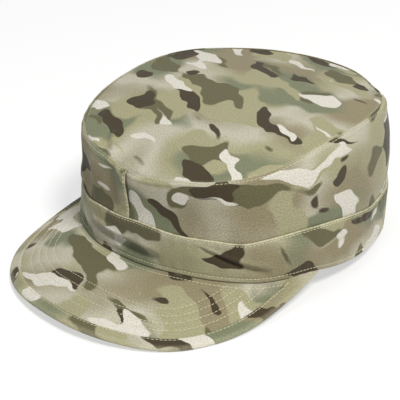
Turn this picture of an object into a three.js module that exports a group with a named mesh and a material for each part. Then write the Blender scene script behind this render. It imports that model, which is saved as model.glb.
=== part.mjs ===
// Patrol cap of printed cotton-blend cloth, resting by itself on its back rim and the front of its peak.
// Millimetres. In the cap's own frame the front is at -Y, the wearer's left at +X, and angles turn from the
// front (0) to the wearer's left (90). restOnFloor() then leans the cap back to the way it rests.
import * as THREE from "three";

// Rim: the band's lower edge, as an oval
const RIM_FRONT = 91.8;
const RIM_BACK = 100.3;
const RIM_SIDE = 93.5;
const RIM_ROUND_FRONT = 2.32;
const RIM_ROUND_BACK = 2.16;
const RIM_DIP = 4.8; // how much lower the rim runs at the front, where the peak pulls it down

// Band: the folded strip around the foot of the wall
const BAND_FRONT_HEIGHT = 26.0;
const BAND_BACK_HEIGHT = 30.9;
const BAND_FLARE = 1.4; // top edge beyond the rim, front and back
const BAND_PINCH = 0.7; // top edge inside the rim, at the sides
const BAND_CLOTH = 1.7;
const BAND_FOLD_ROUND = 0.5; // rounding of its two folded edges

// Crown seam: where the wall meets the top panel, as a slanting oval
const SEAM_FRONT = 93.2;
const SEAM_BACK = 90.4;
const SEAM_SIDE = 86.0;
const SEAM_ROUND_FRONT = 2.41;
const SEAM_ROUND_BACK = 1.98;
const SEAM_FRONT_HEIGHT = 52.9;
const SEAM_BACK_HEIGHT = 85.0;
const SEAM_HUMP = 8.8; // how far the middle of that slant stands above a straight line
const SEAM_SIDE_RISE = 0.9;

// Crown cloth
const CROWN_DOME = 5.2; // rise of the top panel over its seam
const CROWN_DOME_POWER = 2.6;
const CROWN_CLOTH = 1.3;
const WALL_CLOTH = 1.3;
const WALL_HEM_UP = 1.5; // the wall's lower edge above the rim
const WALL_LOW_OUT = -0.7; // pull of the wall's profile above the band
const WALL_LOW_AT = 0.46;
const WALL_HIGH_OUT = 4.8; // bulge under the crown seam
const WALL_HIGH_AT = 0.1;
const WALL_BACK_OUT = 3.4; // further bulge at the back

// Lapped vertical seam at the front centre: the panel on the wearer's right lies over the other
const LAP_ANGLE = 0.6;
const LAP_WIDTH = 7.0; // degrees
const LAP_OUT = 1.1;

// Peak
const PEAK_REACH = 59.6; // rim's front to the peak's front edge
const PEAK_SLOPE = 0.32;
const PEAK_END_ANGLE = 77.0;
const PEAK_FRONT_PULL = 68.5; // how squarely the outline leaves the front centre
const PEAK_END_PULL = 72.0; // and how squarely it comes back to the rim
const PEAK_END_HEADING = 76.6; // degrees from sideways
const PEAK_RAISE = 0.6; // the covered board's top over the bent middle sheet
const PEAK_THICK = 1.3;
const PEAK_TUCK = 3.3; // how far it reaches in under the rim
const BINDING_WIDTH = 6.6;
const BINDING_CLOTH = 0.6;
const BINDING_LEAST = 1.5; // its width where it ends at the band

const GAP = 0.3; // between pieces that are sewn together

// Stations around the cap, up the band and along the peak
const AROUND = 76;
const BAND_LEVELS = [0.25, 0.5, 0.75];
const PEAK_COLUMNS = 44;

// Waves of the seams: angle and width in degrees, rise in mm
const SEAM_WAVES = [
  { angle: -36, width: 9, rise: -1.8 },
  { angle: -13, width: 8, rise: 2.2 },
  { angle: 7, width: 7, rise: -1.3 },
  { angle: 23, width: 7, rise: 1.0 },
  { angle: 51, width: 12, rise: -1.7 },
  { angle: 87, width: 13, rise: 1.5 },
  { angle: 150, width: 16, rise: -1.0 },
  { angle: -78, width: 14, rise: -0.6 },
  { angle: -125, width: 16, rise: 0.8 },
];
const BAND_TOP_WAVES = [
  { angle: -27, width: 9, rise: -3.2 },
  { angle: 8, width: 11, rise: 1.8 },
  { angle: 47, width: 8, rise: -2.2 },
  { angle: 72, width: 14, rise: 1.7 },
  { angle: 109, width: 12, rise: -2.4 },
  { angle: 165, width: 18, rise: 0.8 },
  { angle: -80, width: 15, rise: 1.0 },
  { angle: -130, width: 14, rise: -1.2 },
];
const RIM_WAVES = [
  { angle: -25, width: 16, rise: -1.6 },
  { angle: 26, width: 13, rise: 1.5 },
  { angle: 54, width: 7, rise: -0.7 },
  { angle: 73, width: 7, rise: 0.6 },
  { angle: 93, width: 13, rise: -1.9 },
];

// Folds that push cloth in or out: angle and width in degrees, level and reach as shares of the piece's
// height, lean in degrees from its foot to its top, out in mm
const WALL_FOLDS = [
  { angle: -30, width: 6, level: 0.5, reach: 0.5, lean: 4, out: -1.6 },
  { angle: -18, width: 6, level: 0.5, reach: 0.5, lean: 0, out: 1.8 },
  { angle: -6, width: 4, level: 0.6, reach: 0.4, lean: -2, out: -1.2 },
  { angle: 40, width: 14, level: 0.5, reach: 0.4, lean: 10, out: -0.9 },
  { angle: 75, width: 12, level: 0.5, reach: 0.4, lean: -8, out: 0.8 },
  { angle: 104, width: 8, level: 0.45, reach: 0.4, lean: 6, out: -1.2 },
  { angle: 128, width: 18, level: 0.85, reach: 0.3, lean: 0, out: 2.4 },
  { angle: 160, width: 14, level: 0.5, reach: 0.5, lean: 0, out: -1.4 },
  { angle: -70, width: 13, level: 0.5, reach: 0.4, lean: 6, out: -1.2 },
  { angle: -115, width: 14, level: 0.5, reach: 0.5, lean: -6, out: 1.0 },
];
const BAND_FOLDS = [
  { angle: 2, width: 9, level: 0.42, reach: 0.28, lean: -30, out: -1.7 },
  { angle: 43, width: 6, level: 0.5, reach: 0.25, lean: -34, out: -1.0 },
  { angle: 58, width: 9, level: 0.55, reach: 0.5, lean: 0, out: 0.7 },
  { angle: 113, width: 6, level: 0.7, reach: 0.4, lean: 0, out: -0.9 },
  { angle: -60, width: 14, level: 0.5, reach: 0.5, lean: 0, out: -0.8 },
];
// Dents of the top panel: place in shares of the seam's half lengths (right is the wearer's left), size in
// the same shares, rise in mm
const CROWN_DENTS = [
  { right: -0.28, back: -0.78, size: 0.24, rise: -2.6 },
  { right: -0.02, back: -0.86, size: 0.13, rise: -1.4 },
  { right: 0.45, back: -0.45, size: 0.3, rise: 0.8 },
  { right: 0.35, back: 0.35, size: 0.4, rise: -0.8 },
  { right: -0.45, back: 0.3, size: 0.35, rise: 0.7 },
];

const radians = THREE.MathUtils.degToRad;
const lerp = THREE.MathUtils.lerp;
const bell = (x) => Math.exp(-x * x);

// Angle from b to a in degrees, between -180 and 180.
function turn(a, b) {
  return ((((a - b) % 360) + 540) % 360) - 180;
}

function waves(table, angle) {
  return table.reduce((sum, w) => sum + w.rise * bell(turn(angle, w.angle) / w.width), 0);
}

function folds(table, angle, level) {
  return table.reduce((sum, f) => {
    const across = turn(angle, f.angle + f.lean * (level - f.level)) / f.width;
    return sum + f.out * bell(across) * bell((level - f.level) / f.reach);
  }, 0);
}

// Distance from the cap's middle to an oval, in the direction of an angle.
function ovalRadius(oval, angle) {
  const c = Math.cos(radians(angle));
  const s = Math.abs(Math.sin(radians(angle)));
  const length = c > 0 ? oval.front : oval.back;
  const power = c > 0 ? oval.roundFront : oval.roundBack;
  return ((Math.abs(c) / length) ** power + (s / oval.side) ** power) ** (-1 / power);
}

const rimOval = {
  front: RIM_FRONT,
  back: RIM_BACK,
  side: RIM_SIDE,
  roundFront: RIM_ROUND_FRONT,
  roundBack: RIM_ROUND_BACK,
};
const bandTopOval = {
  ...rimOval,
  front: RIM_FRONT + BAND_FLARE,
  back: RIM_BACK + BAND_FLARE,
  side: RIM_SIDE - BAND_PINCH,
};
const seamOval = {
  front: SEAM_FRONT,
  back: SEAM_BACK,
  side: SEAM_SIDE,
  roundFront: SEAM_ROUND_FRONT,
  roundBack: SEAM_ROUND_BACK,
};

function point(angle, radius, height) {
  const a = radians(angle);
  return new THREE.Vector3(radius * Math.sin(a), -radius * Math.cos(a), height);
}

function rimHeight(angle) {
  const front = Math.max(0, Math.cos(radians(angle)));
  return -RIM_DIP * front * front + waves(RIM_WAVES, angle);
}

function bandTopHeight(angle) {
  const front = Math.max(0, Math.cos(radians(angle)));
  const toBack = (1 - Math.cos(radians(angle))) / 2;
  const height = lerp(BAND_FRONT_HEIGHT, BAND_BACK_HEIGHT, toBack);
  return height - RIM_DIP * front * front + waves(BAND_TOP_WAVES, angle);
}

// Height of the crown's slanting surface, without its dome, over a point of the cap's plan.
function slantHeight(x, y) {
  const back = (y + SEAM_FRONT) / (SEAM_FRONT + SEAM_BACK);
  const slant = lerp(SEAM_FRONT_HEIGHT, SEAM_BACK_HEIGHT, back);
  return slant + SEAM_HUMP * 4 * back * (1 - back) + SEAM_SIDE_RISE * (x / SEAM_SIDE) ** 2;
}

function seamHeight(angle) {
  const p = point(angle, ovalRadius(seamOval, angle), 0);
  return slantHeight(p.x, p.y) + waves(SEAM_WAVES, angle);
}

// The band's outside, as radius and height, from its foot (0) to its top (1).
function bandOutside(angle, level) {
  const foot = ovalRadius(rimOval, angle);
  const top = ovalRadius(bandTopOval, angle);
  return {
    r: lerp(foot, top, level) + folds(BAND_FOLDS, angle, level),
    z: lerp(rimHeight(angle), bandTopHeight(angle), level),
  };
}

// How much the lapped seam lifts the wall at an angle.
function lap(angle) {
  const before = LAP_ANGLE - angle;
  if (before < 0 || before > LAP_WIDTH) return 0;
  return LAP_OUT * (1 - (before / LAP_WIDTH) ** 2);
}

// The wall's outside above the band, from the band's top (0) to the crown seam (1).
function wallOutside(angle, level) {
  const foot = bandOutside(angle, 1);
  const r0 = foot.r - BAND_CLOTH - GAP;
  const r3 = ovalRadius(seamOval, angle);
  const z0 = foot.z;
  const z3 = seamHeight(angle);
  const height = z3 - z0;
  const back = (WALL_BACK_OUT * (1 - Math.cos(radians(angle)))) / 2;
  const r1 = r0 + WALL_LOW_OUT + back;
  const z1 = z0 + WALL_LOW_AT * height;
  const r2 = r3 + WALL_HIGH_OUT + back;
  const z2 = z3 - WALL_HIGH_AT * height;
  const m = 1 - level;
  const b = [m ** 3, 3 * m * m * level, 3 * m * level * level, level ** 3];
  const ease = Math.sin(Math.PI * level) ** 0.7;
  const out = (folds(WALL_FOLDS, angle, level) + lap(angle)) * ease;
  return {
    r: b[0] * r0 + b[1] * r1 + b[2] * r2 + b[3] * r3 + out,
    z: b[0] * z0 + b[1] * z1 + b[2] * z2 + b[3] * z3,
  };
}

// A profile moved by the cloth's thickness to its inner side.
function inwards(profile, cloth) {
  return profile.map((p, i) => {
    const a = profile[Math.max(0, i - 1)];
    const b = profile[Math.min(profile.length - 1, i + 1)];
    const length = Math.hypot(b.r - a.r, b.z - a.z);
    return {
      r: p.r - (cloth * (b.z - a.z)) / length,
      z: p.z + (cloth * (b.r - a.r)) / length,
    };
  });
}

function wallProfile(angle) {
  const foot = bandOutside(angle, 0);
  const top = bandOutside(angle, 1);
  const behind = [WALL_HEM_UP / (top.z - foot.z), ...BAND_LEVELS].map((level) => {
    const p = bandOutside(angle, level);
    return { r: p.r - BAND_CLOTH - GAP, z: p.z };
  });
  const above = [0, 0.12, 0.27, 0.44, 0.61, 0.76, 0.87, 0.95, 1].map((level) => wallOutside(angle, level));
  return [...behind, ...above];
}

// Angles around the whole cap, shared by its pieces, with more of them at the lapped seam.
function anglesAround() {
  const even = Array.from({ length: AROUND }, (_, i) => (i * 360) / AROUND - 180);
  const seam = [LAP_ANGLE - LAP_WIDTH, LAP_ANGLE - LAP_WIDTH / 2, LAP_ANGLE - 0.1, LAP_ANGLE + 0.6];
  const kept = even.filter((a) => seam.every((e) => Math.abs(turn(a, e)) > 100 / AROUND));
  return [...kept, ...seam].sort((a, b) => a - b);
}

// A closed solid between two sheets of points. outer[j][i] faces inner[j][i], j runs around the cap, and
// with closed the last row joins the first. With pole the last point of every row is the same one.
function shell(outer, inner, { closed = false, pole = false } = {}) {
  const rows = outer.length;
  const columns = outer[0].length;
  const positions = [];
  for (const sheet of [outer, inner]) {
    for (const row of sheet) {
      for (const p of row) positions.push(p.x, p.y, p.z);
    }
  }
  const at = (side, j, i) => {
    const row = pole && i === columns - 1 ? 0 : j % rows;
    return (side * rows + row) * columns + i;
  };
  const index = [];
  const triangle = (a, b, c) => {
    if (a !== b && b !== c && c !== a) index.push(a, b, c);
  };
  const quad = (a, b, c, d) => {
    triangle(a, b, c);
    triangle(a, c, d);
  };
  const spans = closed ? rows : rows - 1;
  const last = columns - 1;
  for (let j = 0; j < spans; j++) {
    for (let i = 0; i < last; i++) {
      quad(at(0, j, i), at(0, j + 1, i), at(0, j + 1, i + 1), at(0, j, i + 1));
      quad(at(1, j, i), at(1, j, i + 1), at(1, j + 1, i + 1), at(1, j + 1, i));
    }
    quad(at(1, j, 0), at(1, j + 1, 0), at(0, j + 1, 0), at(0, j, 0));
    if (!pole) quad(at(0, j, last), at(0, j + 1, last), at(1, j + 1, last), at(1, j, last));
  }
  if (!closed) {
    const end = rows - 1;
    for (let i = 0; i < last; i++) {
      quad(at(1, 0, i), at(0, 0, i), at(0, 0, i + 1), at(1, 0, i + 1));
      quad(at(0, end, i), at(1, end, i), at(1, end, i + 1), at(0, end, i + 1));
    }
  }
  const geometry = new THREE.BufferGeometry();
  geometry.setAttribute("position", new THREE.Float32BufferAttribute(positions, 3));
  geometry.setIndex(index);
  geometry.computeVertexNormals();
  return geometry;
}

function sheetOf(angles, profileOf) {
  return angles.map((angle) => profileOf(angle).map((p) => point(angle, p.r, p.z)));
}

function makeSideWall() {
  const angles = anglesAround();
  return shell(
    sheetOf(angles, wallProfile),
    sheetOf(angles, (angle) => inwards(wallProfile(angle), WALL_CLOTH)),
    { closed: true },
  );
}

function makeBand() {
  const angles = anglesAround();
  const outside = (angle) => {
    const height = bandTopHeight(angle) - rimHeight(angle);
    const round = BAND_FOLD_ROUND / height;
    return [0, round, ...BAND_LEVELS, 1 - round, 1].map((level) => bandOutside(angle, level));
  };
  const rounded = (angle) =>
    outside(angle).map((p, i, all) => ({
      r: i === 0 || i === all.length - 1 ? p.r - BAND_FOLD_ROUND : p.r,
      z: p.z,
    }));
  const inside = (angle) => outside(angle).map((p) => ({ r: p.r - BAND_CLOTH, z: p.z }));
  return shell(sheetOf(angles, rounded), sheetOf(angles, inside), { closed: true });
}

// Rise of the top panel over the slant, from its middle (0) to its seam (1).
function crownRise(angle, share) {
  const p = point(angle, share * ovalRadius(seamOval, angle), 0);
  const right = p.x / SEAM_SIDE;
  const back = p.y / (p.y < 0 ? SEAM_FRONT : SEAM_BACK);
  const dents = CROWN_DENTS.reduce(
    (sum, d) => sum + d.rise * bell(Math.hypot(right - d.right, back - d.back) / d.size),
    0,
  );
  const dome = CROWN_DOME * (1 - share ** CROWN_DOME_POWER);
  return dome + dents * (1 - share ** 8) + waves(SEAM_WAVES, angle) * share ** 6;
}

function makeCrownTop() {
  const angles = anglesAround();
  const shares = [0.985, 0.955, 0.9, 0.8, 0.66, 0.48, 0.26, 0];
  const outside = (angle) => {
    const wall = wallProfile(angle);
    const end = wall[wall.length - 1];
    const before = wall[wall.length - 2];
    const length = Math.hypot(end.r - before.r, end.z - before.z);
    const along = { r: (end.r - before.r) / length, z: (end.z - before.z) / length };
    const edge = { r: end.r + GAP * along.r, z: end.z + GAP * along.z, along };
    const rest = shares.map((share) => {
      const r = share * ovalRadius(seamOval, angle);
      const p = point(angle, r, 0);
      return { r, z: slantHeight(p.x, p.y) + crownRise(angle, share) };
    });
    return [edge, ...rest];
  };
  const inside = (angle) =>
    outside(angle).map((p) =>
      p.along
        ? { r: p.r - CROWN_CLOTH * p.along.z, z: p.z + CROWN_CLOTH * p.along.r }
        : { r: p.r, z: p.z - CROWN_CLOTH },
    );
  return shell(sheetOf(angles, outside), sheetOf(angles, inside), { closed: true, pole: true });
}

// The peak's outline, from the front centre (0) to its end on the rim (1).
const peakEnd = point(PEAK_END_ANGLE, ovalRadius(rimOval, PEAK_END_ANGLE), 0);
const peakFront = -RIM_FRONT - PEAK_REACH;
const peakOutline = new THREE.CubicBezierCurve(
  new THREE.Vector2(0, peakFront),
  new THREE.Vector2(PEAK_FRONT_PULL, peakFront),
  new THREE.Vector2(
    peakEnd.x + PEAK_END_PULL * Math.cos(radians(PEAK_END_HEADING)),
    peakEnd.y - PEAK_END_PULL * Math.sin(radians(PEAK_END_HEADING)),
  ),
  new THREE.Vector2(peakEnd.x, peakEnd.y),
);

// Distance from the cap's middle to the peak's outline, in the direction of an angle.
function outlineRadius(angle) {
  const wanted = Math.min(Math.abs(angle), PEAK_END_ANGLE);
  let low = 0;
  let high = 1;
  for (let i = 0; i < 40; i++) {
    const middle = (low + high) / 2;
    const p = peakOutline.getPoint(middle);
    const found = THREE.MathUtils.radToDeg(Math.atan2(p.x, -p.y));
    if (found < wanted) low = middle;
    else high = middle;
  }
  const p = peakOutline.getPoint(low);
  return Math.hypot(p.x, p.y);
}

// The bent middle sheet of the peak: it slopes to the front and arches over to its two ends.
const endDrop = PEAK_SLOPE * (peakEnd.y + RIM_FRONT) - RIM_DIP - rimHeight(PEAK_END_ANGLE);
const peakArch = endDrop / peakEnd.x ** 2;
function bentSheet(p) {
  return -RIM_DIP + PEAK_SLOPE * (p.y + RIM_FRONT) - peakArch * p.x * p.x;
}

// Height of that sheet where it also meets the rim's own height, along an angle.
function peakSheet(angle, radius) {
  const rim = ovalRadius(rimOval, angle);
  const edge = outlineRadius(angle);
  const share = THREE.MathUtils.clamp((radius - rim) / Math.max(edge - rim, 0.5), 0, 1);
  const atRim = rimHeight(angle) - bentSheet(point(angle, rim, 0));
  const lift = PEAK_RAISE * (1 - (1 - Math.min(1, share * 2.5)) ** 2);
  return bentSheet(point(angle, Math.max(radius, rim), 0)) + atRim * (1 - share) ** 2 + lift;
}

// Angle at which the peak is just this much wider than the rim.
function angleOfWidth(width) {
  let low = 0;
  let high = PEAK_END_ANGLE;
  for (let i = 0; i < 40; i++) {
    const middle = (low + high) / 2;
    if (outlineRadius(middle) - ovalRadius(rimOval, middle) > width) low = middle;
    else high = middle;
  }
  return low;
}

function peakAngles(end) {
  return Array.from({ length: PEAK_COLUMNS + 1 }, (_, i) => end * Math.sin(radians((180 * i) / PEAK_COLUMNS - 90)));
}

function makePeak() {
  const end = angleOfWidth(BINDING_LEAST + BINDING_CLOTH);
  const inset = BINDING_CLOTH + GAP;
  const top = (angle) => {
    const rim = ovalRadius(rimOval, angle);
    const edge = outlineRadius(angle) - inset;
    const outer = [1, 0.93, 0.8, 0.62, 0.42, 0.2, 0].map((share) => {
      const r = lerp(rim, edge, share);
      return { r, z: peakSheet(angle, r) - GAP };
    });
    return [...outer, { r: rim - PEAK_TUCK, z: rimHeight(angle) - GAP }];
  };
  const bottom = (angle) => top(angle).map((p) => ({ r: p.r, z: p.z - PEAK_THICK }));
  const angles = peakAngles(end);
  return shell(sheetOf(angles, top), sheetOf(angles, bottom));
}

// The strip around the peak's edge, a C in section from its lower lip around to its upper one.
function makePeakBinding() {
  const end = angleOfWidth(BINDING_LEAST + BINDING_CLOTH);
  const section = (angle, cloth) => {
    const edge = outlineRadius(angle);
    const width = Math.min(BINDING_WIDTH, edge - ovalRadius(rimOval, angle) - 2 * GAP);
    const up = (r) => peakSheet(angle, r) + cloth;
    const down = (r) => peakSheet(angle, r) - PEAK_THICK - 2 * GAP - cloth;
    const turned = edge - BINDING_CLOTH + cloth;
    const lip = edge - width;
    const half = (edge - BINDING_CLOTH + lip) / 2;
    const middle = (up(turned) + down(turned)) / 2;
    const corner = (cloth + GAP) * 0.8;
    return [
      { r: lip, z: down(lip) },
      { r: half, z: down(half) },
      { r: turned - corner, z: down(turned - corner) },
      { r: turned, z: middle - PEAK_THICK / 3 },
      { r: turned, z: middle + PEAK_THICK / 3 },
      { r: turned - corner, z: up(turned - corner) },
      { r: half, z: up(half) },
      { r: lip, z: up(lip) },
    ];
  };
  const angles = peakAngles(end);
  return shell(
    sheetOf(angles, (angle) => section(angle, BINDING_CLOTH)),
    sheetOf(angles, (angle) => section(angle, 0)),
  );
}

function lowest(geometry, lean, keep) {
  const positions = geometry.getAttribute("position");
  let least = Infinity;
  for (let i = 0; i < positions.count; i++) {
    const y = positions.getY(i);
    if (!keep(y)) continue;
    least = Math.min(least, positions.getZ(i) * Math.cos(lean) - y * Math.sin(lean));
  }
  return least;
}

// Leans every piece about X until the peak's edge and the back of the rim lie on one floor, and moves them
// so that the middle of their box stands on the origin.
function restOnFloor(pieces) {
  let low = radians(-10);
  let high = radians(25);
  for (let i = 0; i < 40; i++) {
    const lean = (low + high) / 2;
    const front = lowest(pieces.peak_binding, lean, (y) => y < 0);
    const back = lowest(pieces.band, lean, (y) => y > 0);
    if (front < back) low = lean;
    else high = lean;
  }
  const box = new THREE.Box3();
  for (const geometry of Object.values(pieces)) {
    geometry.rotateX(-low);
    geometry.computeBoundingBox();
    box.union(geometry.boundingBox);
  }
  const middle = box.getCenter(new THREE.Vector3());
  for (const geometry of Object.values(pieces)) geometry.translate(-middle.x, -middle.y, -box.min.z);
}

const pieces = {
  crown_top: makeCrownTop(),
  side_wall: makeSideWall(),
  band: makeBand(),
  peak: makePeak(),
  peak_binding: makePeakBinding(),
};
restOnFloor(pieces);

const COLOURS = {
  crown_top: 0x9d9678,
  side_wall: 0x8c8866,
  band: 0x7f7a5a,
  peak: 0xa39a80,
  peak_binding: 0x857d62,
};

const cap = new THREE.Group();
for (const [name, geometry] of Object.entries(pieces)) {
  const cloth = new THREE.MeshStandardMaterial({ color: COLOURS[name], roughness: 0.9, metalness: 0 });
  const mesh = new THREE.Mesh(geometry, cloth);
  mesh.name = name;
  cap.add(mesh);
}

export default cap;
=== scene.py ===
# A soft patrol cap of printed cotton-blend cloth, lying by itself on a pale floor: a band, a side wall with
# one lapped seam at the front, a flat top panel and a stiffened peak with a bound edge.
# Shapes are worked out in millimetres in the cap's own frame: front at -Y, the wearer's left at +X, and
# angles that turn from the front (0) to the wearer's left (90). at_rest() leans the cap to the way it lies.
import math

import bpy
import numpy as np
from mathutils import Matrix, Vector


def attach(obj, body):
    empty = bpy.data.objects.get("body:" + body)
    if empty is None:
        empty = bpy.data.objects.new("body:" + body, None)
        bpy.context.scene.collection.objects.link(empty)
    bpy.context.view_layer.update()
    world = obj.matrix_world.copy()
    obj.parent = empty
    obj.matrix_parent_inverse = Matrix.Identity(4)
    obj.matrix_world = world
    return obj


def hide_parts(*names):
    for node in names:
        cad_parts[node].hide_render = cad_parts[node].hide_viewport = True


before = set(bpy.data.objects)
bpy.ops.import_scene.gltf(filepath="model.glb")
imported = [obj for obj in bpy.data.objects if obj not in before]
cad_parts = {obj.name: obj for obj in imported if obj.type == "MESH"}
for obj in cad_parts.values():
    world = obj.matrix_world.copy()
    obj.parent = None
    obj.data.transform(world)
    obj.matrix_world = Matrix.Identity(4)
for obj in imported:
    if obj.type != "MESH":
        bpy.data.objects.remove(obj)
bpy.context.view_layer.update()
bpy.ops.object.select_all(action="DESELECT")

# Band
# The strip around the foot of the cap: twill folded along both edges, laid over the foot of the wall and
# topstitched near its two folds. It has sagged into soft dents and sharp creases at the front.
RIM = {"front": 91.8, "back": 100.3, "side": 93.5, "round_front": 2.32, "round_back": 2.16}
RIM_DIP = 4.8  # how much lower the rim runs at the front
BAND_TOP = {**RIM, "front": 93.2, "back": 101.7, "side": 92.8}
BAND_FRONT_HEIGHT = 26.0
BAND_BACK_HEIGHT = 30.9
BAND_CLOTH = 1.7  # two layers and their turned edges
BAND_TOP_STITCH = 1.5  # below the top fold
BAND_FOOT_STITCH = 2.6  # above the foot fold
BAND_RADIUS = 95  # in the mean, for lengths along the strip
BAND_DEGREE = 1.62  # mm along the strip to a degree
BAND_MID_HEIGHT = 27.0
JOIN_WIDTH = 3.0  # degrees on each side of the back centre that stay smooth
FOOT_WEAR_AND_HIGHLIGHT = 0.5  # how far the two folds are rubbed pale and lit by a painted highlight
TOP_WEAR_AND_HIGHLIGHT = 1.5
LEAN = math.radians(6.998)  # of the cap as it lies
REST_PLACE = np.array([0.0, 23.498, 12.160])
MM = 0.001  # in metres

# Rows and columns of the band's grid
FOLD_ROWS = 4
OUTSIDE_ROWS = 48
INSIDE_ROWS = 10
BAND_ROWS = 2 * FOLD_ROWS + OUTSIDE_ROWS + INSIDE_ROWS
BAND_COLUMNS = 900


def table(columns, *rows):
    """The rows of a table, each with its values under the names of the columns."""
    return [dict(zip(columns.split(), row)) for row in rows]


# Waves of an edge: angle and width in degrees, rise in mm
BAND_TOP_WAVES = table(
    "angle width rise",
    (-27, 9, -3.2),
    (8, 11, 1.8),
    (47, 8, -2.2),
    (72, 14, 1.7),
    (109, 12, -2.4),
    (165, 18, 0.8),
    (-80, 15, 1.0),
    (-130, 14, -1.2),
)
RIM_WAVES = table(
    "angle width rise",
    (-25, 16, -1.6),
    (26, 13, 1.5),
    (54, 7, -0.7),
    (73, 7, 0.6),
    (93, 13, -1.9),
)
# Folds: angle and width in degrees, level and reach as shares of the height, lean in degrees from foot to
# top, out in mm
BAND_FOLDS = table(
    "angle width level reach lean out",
    (3, 10, 0.36, 0.26, -30, -1.7),
    (43, 6, 0.5, 0.25, -34, -1.0),
    (58, 9, 0.55, 0.5, 0, 0.7),
    (113, 6, 0.7, 0.4, 0, -0.9),
    (-60, 14, 0.5, 0.5, 0, -0.8),
    (-24, 5, 0.55, 0.5, 4, -1.0),
    (84, 9, 0.45, 0.4, 8, -0.5),
    (172, 12, 0.5, 0.5, 10, -0.7),
    (-48, 11, 0.85, 0.45, 0, -1.3),
    (-105, 9, 0.4, 0.5, -12, 0.6),
)
# Sharp creases: from and to as (angle, level), widths there, depth, and the rise of a lip along the upper
# side, all in mm
LIP_AWAY = 1.7  # from a crease's middle to its lip's, in widths
BAND_CREASES = table(
    "from to widths depth lip",
    ((-23, 0.46), (16, 0.27), (2.0, 3.0), 2.9, 1.7),
    ((31.5, 0.79), (57, 0.16), (0.9, 2.6), 1.9, 1.3),
    ((59.6, 0.78), (63.8, 0.28), (0.6, 0.9), 2.1, 0.8),
    ((-33, 0.72), (-27, 0.10), (1.4, 2.2), 1.5, 0.8),
    ((150, 0.7), (163, 0.3), (2.0, 2.8), 0.6, 0.3),
    ((-140, 0.3), (-120, 0.62), (1.6, 2.8), 0.9, 0.5),
)


def bell(x):
    return np.exp(-x * x)


def turn(a, b):
    """Angle from b to a in degrees, between -180 and 180."""
    return (a - b + 180.0) % 360.0 - 180.0


def waves(table, angle):
    return sum(w["rise"] * bell(turn(angle, w["angle"]) / w["width"]) for w in table)


def folds(table, angle, level):
    total = 0.0
    for f in table:
        across = turn(angle, f["angle"] + f["lean"] * (level - f["level"])) / f["width"]
        total = total + f["out"] * bell(across) * bell((level - f["level"]) / f["reach"])
    return total


def creases(table, angle, level, degree_mm, height_mm):
    """Grooves along straight lines on a piece, each with a soft lip along its upper side."""
    total = 0.0
    for c in table:
        x = turn(angle, c["from"][0]) * degree_mm
        y = (level - c["from"][1]) * height_mm
        run = np.array([(c["to"][0] - c["from"][0]) * degree_mm, (c["to"][1] - c["from"][1]) * height_mm])
        length = np.hypot(*run)
        run = run / length
        share = (x * run[0] + y * run[1]) / length
        width = c["widths"][0] + (c["widths"][1] - c["widths"][0]) * np.clip(share, 0, 1)
        side = (y * run[0] - x * run[1]) * (1 if run[0] > 0 else -1) / width
        ends = np.clip(share, 0, 1) * np.clip(1 - share, 0, 1) * 4
        total = total + (c["lip"] * bell(side - LIP_AWAY) - c["depth"] * bell(side)) * np.sqrt(ends)
    return total


def oval_radius(oval, angle):
    """Distance from the cap's middle to an oval, in the direction of an angle."""
    c = np.cos(np.radians(angle))
    s = np.abs(np.sin(np.radians(angle)))
    length = np.where(c > 0, oval["front"], oval["back"])
    power = np.where(c > 0, oval["round_front"], oval["round_back"])
    return ((np.abs(c) / length) ** power + (s / oval["side"]) ** power) ** (-1 / power)


def front_share(angle):
    return np.maximum(0, np.cos(np.radians(angle))) ** 2


def back_share(angle):
    return (1 - np.cos(np.radians(angle))) / 2


def rim_height(angle):
    return -RIM_DIP * front_share(angle) + waves(RIM_WAVES, angle)


def band_top_height(angle):
    height = BAND_FRONT_HEIGHT + (BAND_BACK_HEIGHT - BAND_FRONT_HEIGHT) * back_share(angle)
    return height - RIM_DIP * front_share(angle) + waves(BAND_TOP_WAVES, angle)


def band_height(angle):
    return band_top_height(angle) - rim_height(angle)


def band_outside(angle, level):
    """Radius and height of the band's outside, from its foot (0) to its top (1)."""
    foot = oval_radius(RIM, angle)
    top = oval_radius(BAND_TOP, angle)
    radius = foot + (top - foot) * level + folds(BAND_FOLDS, angle, level)
    return radius, rim_height(angle) + band_height(angle) * level


def around(angle, radius, height):
    """Points in the cap's own frame."""
    a = np.radians(angle)
    return np.stack([radius * np.sin(a), -radius * np.cos(a), height + 0 * radius], axis=-1)


def at_rest(points):
    """From the cap's own frame in mm to the way it lies, in metres."""
    x, y, z = points[..., 0], points[..., 1], points[..., 2]
    c, s = math.cos(LEAN), math.sin(LEAN)
    return (np.stack([x, y * c + z * s, z * c - y * s], axis=-1) + REST_PLACE) * MM


def surface_height(y):
    """Height, in the cap's own frame, of the surface that it lies on."""
    return (y * math.sin(LEAN) - REST_PLACE[2]) / math.cos(LEAN)


def rumple(points, size, rise, seed):
    """Smooth random bumps, about size mm across and up to rise mm high."""
    q = points / size + seed * 7.31
    cell = np.floor(q).astype(np.int64)
    f = q - cell
    w = f * f * (3 - 2 * f)
    total = np.zeros(points.shape[:-1])
    for dx in (0, 1):
        for dy in (0, 1):
            for dz in (0, 1):
                x, y, z = cell[..., 0] + dx, cell[..., 1] + dy, cell[..., 2] + dz
                # Large odd factors give neighbouring cells values that have nothing in common.
                mixed = (x * 73856093) ^ (y * 19349663) ^ (z * 83492791) ^ (seed * 2654435)
                mixed = (mixed ^ (mixed >> 13)) * 1274126177
                value = ((mixed >> 7) & 65535) / 32767.5 - 1
                wx = w[..., 0] if dx else 1 - w[..., 0]
                wy = w[..., 1] if dy else 1 - w[..., 1]
                wz = w[..., 2] if dz else 1 - w[..., 2]
                total += value * wx * wy * wz
    return rise * total


def groove(away, middle, depth, width):
    """The line that a row of stitches draws in, with its middle so far from an edge (all in mm)."""
    return -depth * bell((away - middle) / width)


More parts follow.
